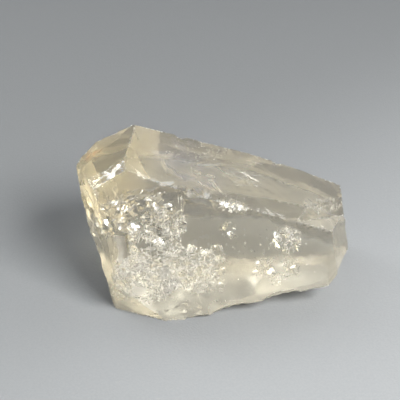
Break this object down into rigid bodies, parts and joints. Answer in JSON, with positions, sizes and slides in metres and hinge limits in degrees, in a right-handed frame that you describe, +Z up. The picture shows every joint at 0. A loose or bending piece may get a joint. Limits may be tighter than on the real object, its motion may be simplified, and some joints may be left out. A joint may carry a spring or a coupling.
{
  "type": "topaz crystal",
  "caption": "Rough broken topaz crystal of clear pale straw, with flat natural faces above and behind, lying on its broken flat side.",
  "frame": {"origin": "centre of the crystal's footprint box, on the surface it lies on", "axes": "+X along the crystal, from its pointed left end to its broken right end; +Y from the broken front to the grown back; +Z up"},
  "size_m": [0.0434, 0.0242, 0.0238],
  "materials": {
    "topaz": "clear pale straw topaz, glossy on the grown faces and satin on the broken ones, with silvery inner cracks and a cloudy white veil"
  },
  "bodies": {
    "root": {"topaz_crystal": "topaz"}
  },
  "joints": []
}
